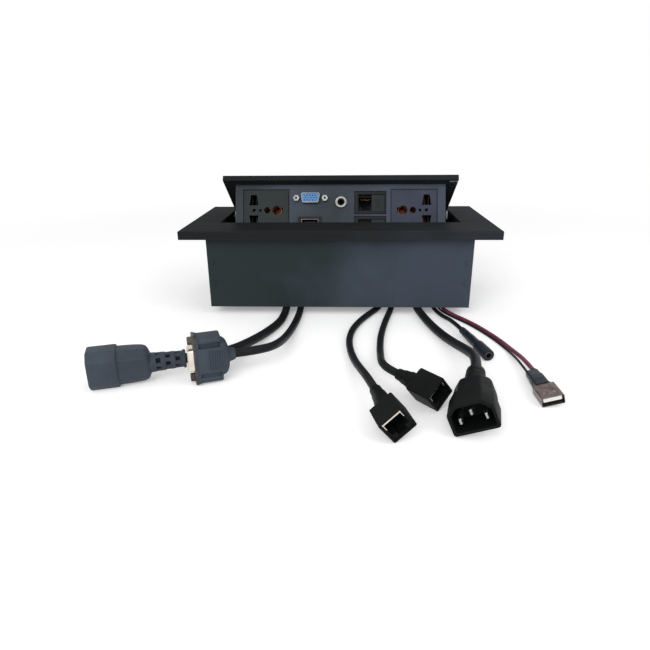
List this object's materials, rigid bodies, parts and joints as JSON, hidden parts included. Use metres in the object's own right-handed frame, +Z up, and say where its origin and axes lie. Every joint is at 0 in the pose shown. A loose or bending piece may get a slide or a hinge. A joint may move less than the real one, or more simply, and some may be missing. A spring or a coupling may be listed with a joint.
{
  "type": "table connection box",
  "caption": "Flip-up desk socket box: a tilting lid carries power, video, sound and network sockets in a bezel over a steel housing with captive leads.",
  "frame": {"origin": "bottom centre of the box, below the middle of the bezel", "axes": "+X to the right of the front, along the long side; +Y to the rear; +Z up"},
  "size_m": [0.2898, 0.3182, 0.1118],
  "materials": {
    "black_anodised": "brushed, black anodised",
    "slate_paint": "satin, slate grey",
    "panel_paint": "satin, blue grey",
    "black_plastic": "fine-textured, black",
    "grey_plastic": "fine-textured, slate grey",
    "dark_plastic": "semi-gloss, near black",
    "white_plastic": "white",
    "blue_plastic": "blue",
    "nickel": "nickel plated",
    "steel": "zinc plated",
    "black_steel": "blackened",
    "copper": "copper alloy",
    "black_rubber": "matt black",
    "cord_black": "satin black sheath",
    "cord_red": "plum red insulation"
  },
  "bodies": {
    "base": {"audio_cord": "cord_black", "audio_lead_socket": "dark_plastic", "bezel_frame": "black_anodised", "bezel_screws": "steel", "bottom_cover": "slate_paint", "cable_comb": "black_rubber", "friction_washers": "white_plastic", "housing_shell": "slate_paint", "inner_leads": "cord_black", "latch_body": "black_plastic", "latch_spring": "steel", "mains_cord_left": "cord_black", "mains_cord_right": "cord_black", "mains_pins_left": "steel", "mains_pins_right": "steel", "mains_plug_left": "grey_plastic", "mains_plug_right": "black_plastic", "network_cord_left": "cord_black", "network_cord_right": "cord_black", "network_coupler_left": "black_plastic", "network_coupler_right": "black_plastic", "pivot_pins": "steel", "usb_boot": "black_plastic", "usb_lead_socket": "nickel", "usb_lead_tongue": "white_plastic", "usb_wire_dark": "cord_black", "usb_wire_red": "cord_red", "vga_cord": "cord_black", "vga_hood": "grey_plastic", "vga_lead_socket": "nickel", "wall_fasteners": "black_steel"},
    "module": {"lid_plate": "black_anodised", "module_panel": "panel_paint", "hinge_blocks": "black_plastic", "hinge_screws": "steel", "lid_screws": "steel", "stop_studs": "steel", "striker": "steel", "socket_face_left": "dark_plastic", "socket_face_right": "dark_plastic", "socket_body_left": "black_plastic", "socket_body_right": "black_plastic", "socket_contacts_left": "copper", "socket_contacts_right": "copper", "vga_shell": "nickel", "vga_insert": "blue_plastic", "vga_jackscrews": "nickel", "hdmi_housing": "dark_plastic", "hdmi_shell": "nickel", "audio_jack": "black_plastic", "audio_nut": "nickel", "usb_port_shell": "nickel", "usb_port_tongue": "white_plastic", "network_frame_upper": "dark_plastic", "network_frame_lower": "dark_plastic", "network_jack_upper": "black_plastic", "network_jack_lower": "black_plastic"},
    "shutter_upper": {"network_shutter_upper": "dark_plastic"},
    "shutter_lower": {"network_shutter_lower": "dark_plastic"},
    "plunger": {"latch_plunger": "white_plastic"}
  },
  "joints": [
    {"name": "module_tilt", "type": "hinge", "parent": "base", "child": "module", "pos_m": [0, 0.0417, 0.069], "axis": [-1, 0, 0], "range_deg": [-35.7, 12.3], "deforming": ["inner_leads"]},
    {"name": "shutter_upper_slide", "type": "slide", "parent": "module", "child": "shutter_upper", "axis": [-1, 0, 0], "range_m": [0, 0.0115]},
    {"name": "shutter_lower_slide", "type": "slide", "parent": "module", "child": "shutter_lower", "axis": [-1, 0, 0], "range_m": [0, 0.0115]},
    {"name": "latch_press", "type": "slide", "parent": "base", "child": "plunger", "axis": [0, 0, -1], "range_m": [0, 0.004], "stiffness_N_per_m": 500, "springref_m": -0.002, "deforming": ["latch_spring"]}
  ]
}
